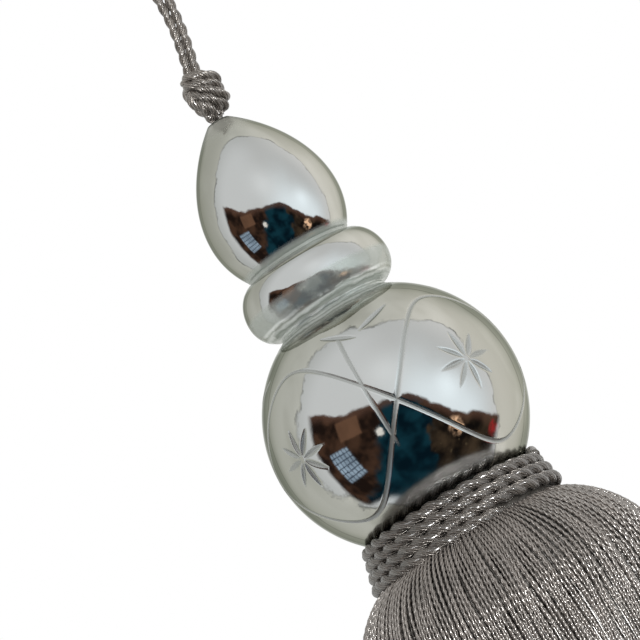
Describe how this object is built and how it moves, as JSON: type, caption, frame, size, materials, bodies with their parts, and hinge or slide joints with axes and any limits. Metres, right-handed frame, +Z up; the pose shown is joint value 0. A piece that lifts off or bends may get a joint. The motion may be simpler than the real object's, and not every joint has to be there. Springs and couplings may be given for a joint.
{
  "type": "hanging tassel ornament",
  "caption": "Hanging ornament: silvered blown glass finial with cut stars, a rope collar and a full thread tassel, on a knotted cord loop.",
  "frame": {"origin": "The hang point: the inner top of the cord loop, where a hook or branch carries it.", "axes": "+Z up along the ornament's axis; +X across the two legs of the cord loop; the ornament hangs along -Z."},
  "size_m": [0.09, 0.09, 0.3168],
  "materials": {
    "cord": "two-ply twisted satin cord, taupe grey",
    "rope": "twisted satin rope, taupe grey",
    "threads": "fine twisted satin thread, silver grey",
    "tape": "woven heading tape",
    "binding": "close wound binding thread",
    "glass": "clear blown glass, faintly green",
    "silvering": "silver mirror coat on the inner wall",
    "wood": "turned, unfinished",
    "brass": "plain stamped washer"
  },
  "bodies": {
    "hanging_cord": {"hanging_loop": "cord", "hanging_knot": "cord"},
    "twisting_neck": {"cord_neck": "cord"},
    "ornament": {"inner_cord_left": "cord", "inner_cord_right": "cord", "cord_tail_left": "cord", "cord_tail_right": "cord", "retaining_knot": "cord", "glass_finial": "glass", "silver_lining": "silvering", "tassel_core": "wood", "stop_washer": "brass", "heading_tape": "tape", "binding_thread": "binding", "rope_collar": "rope", "skirt_outer": "threads", "skirt_inner": "threads"}
  },
  "joints": [
    {"name": "twirl", "type": "hinge", "parent": "hanging_cord", "child": "twisting_neck", "pos_m": [0, 0, -0.0784], "axis": [0, 0, 1], "continuous": true},
    {"name": "swing", "type": "hinge", "parent": "twisting_neck", "child": "ornament", "pos_m": [0, 0, -0.0804], "axis": [0, 1, 0], "range_deg": [-18, 18]}
  ]
}
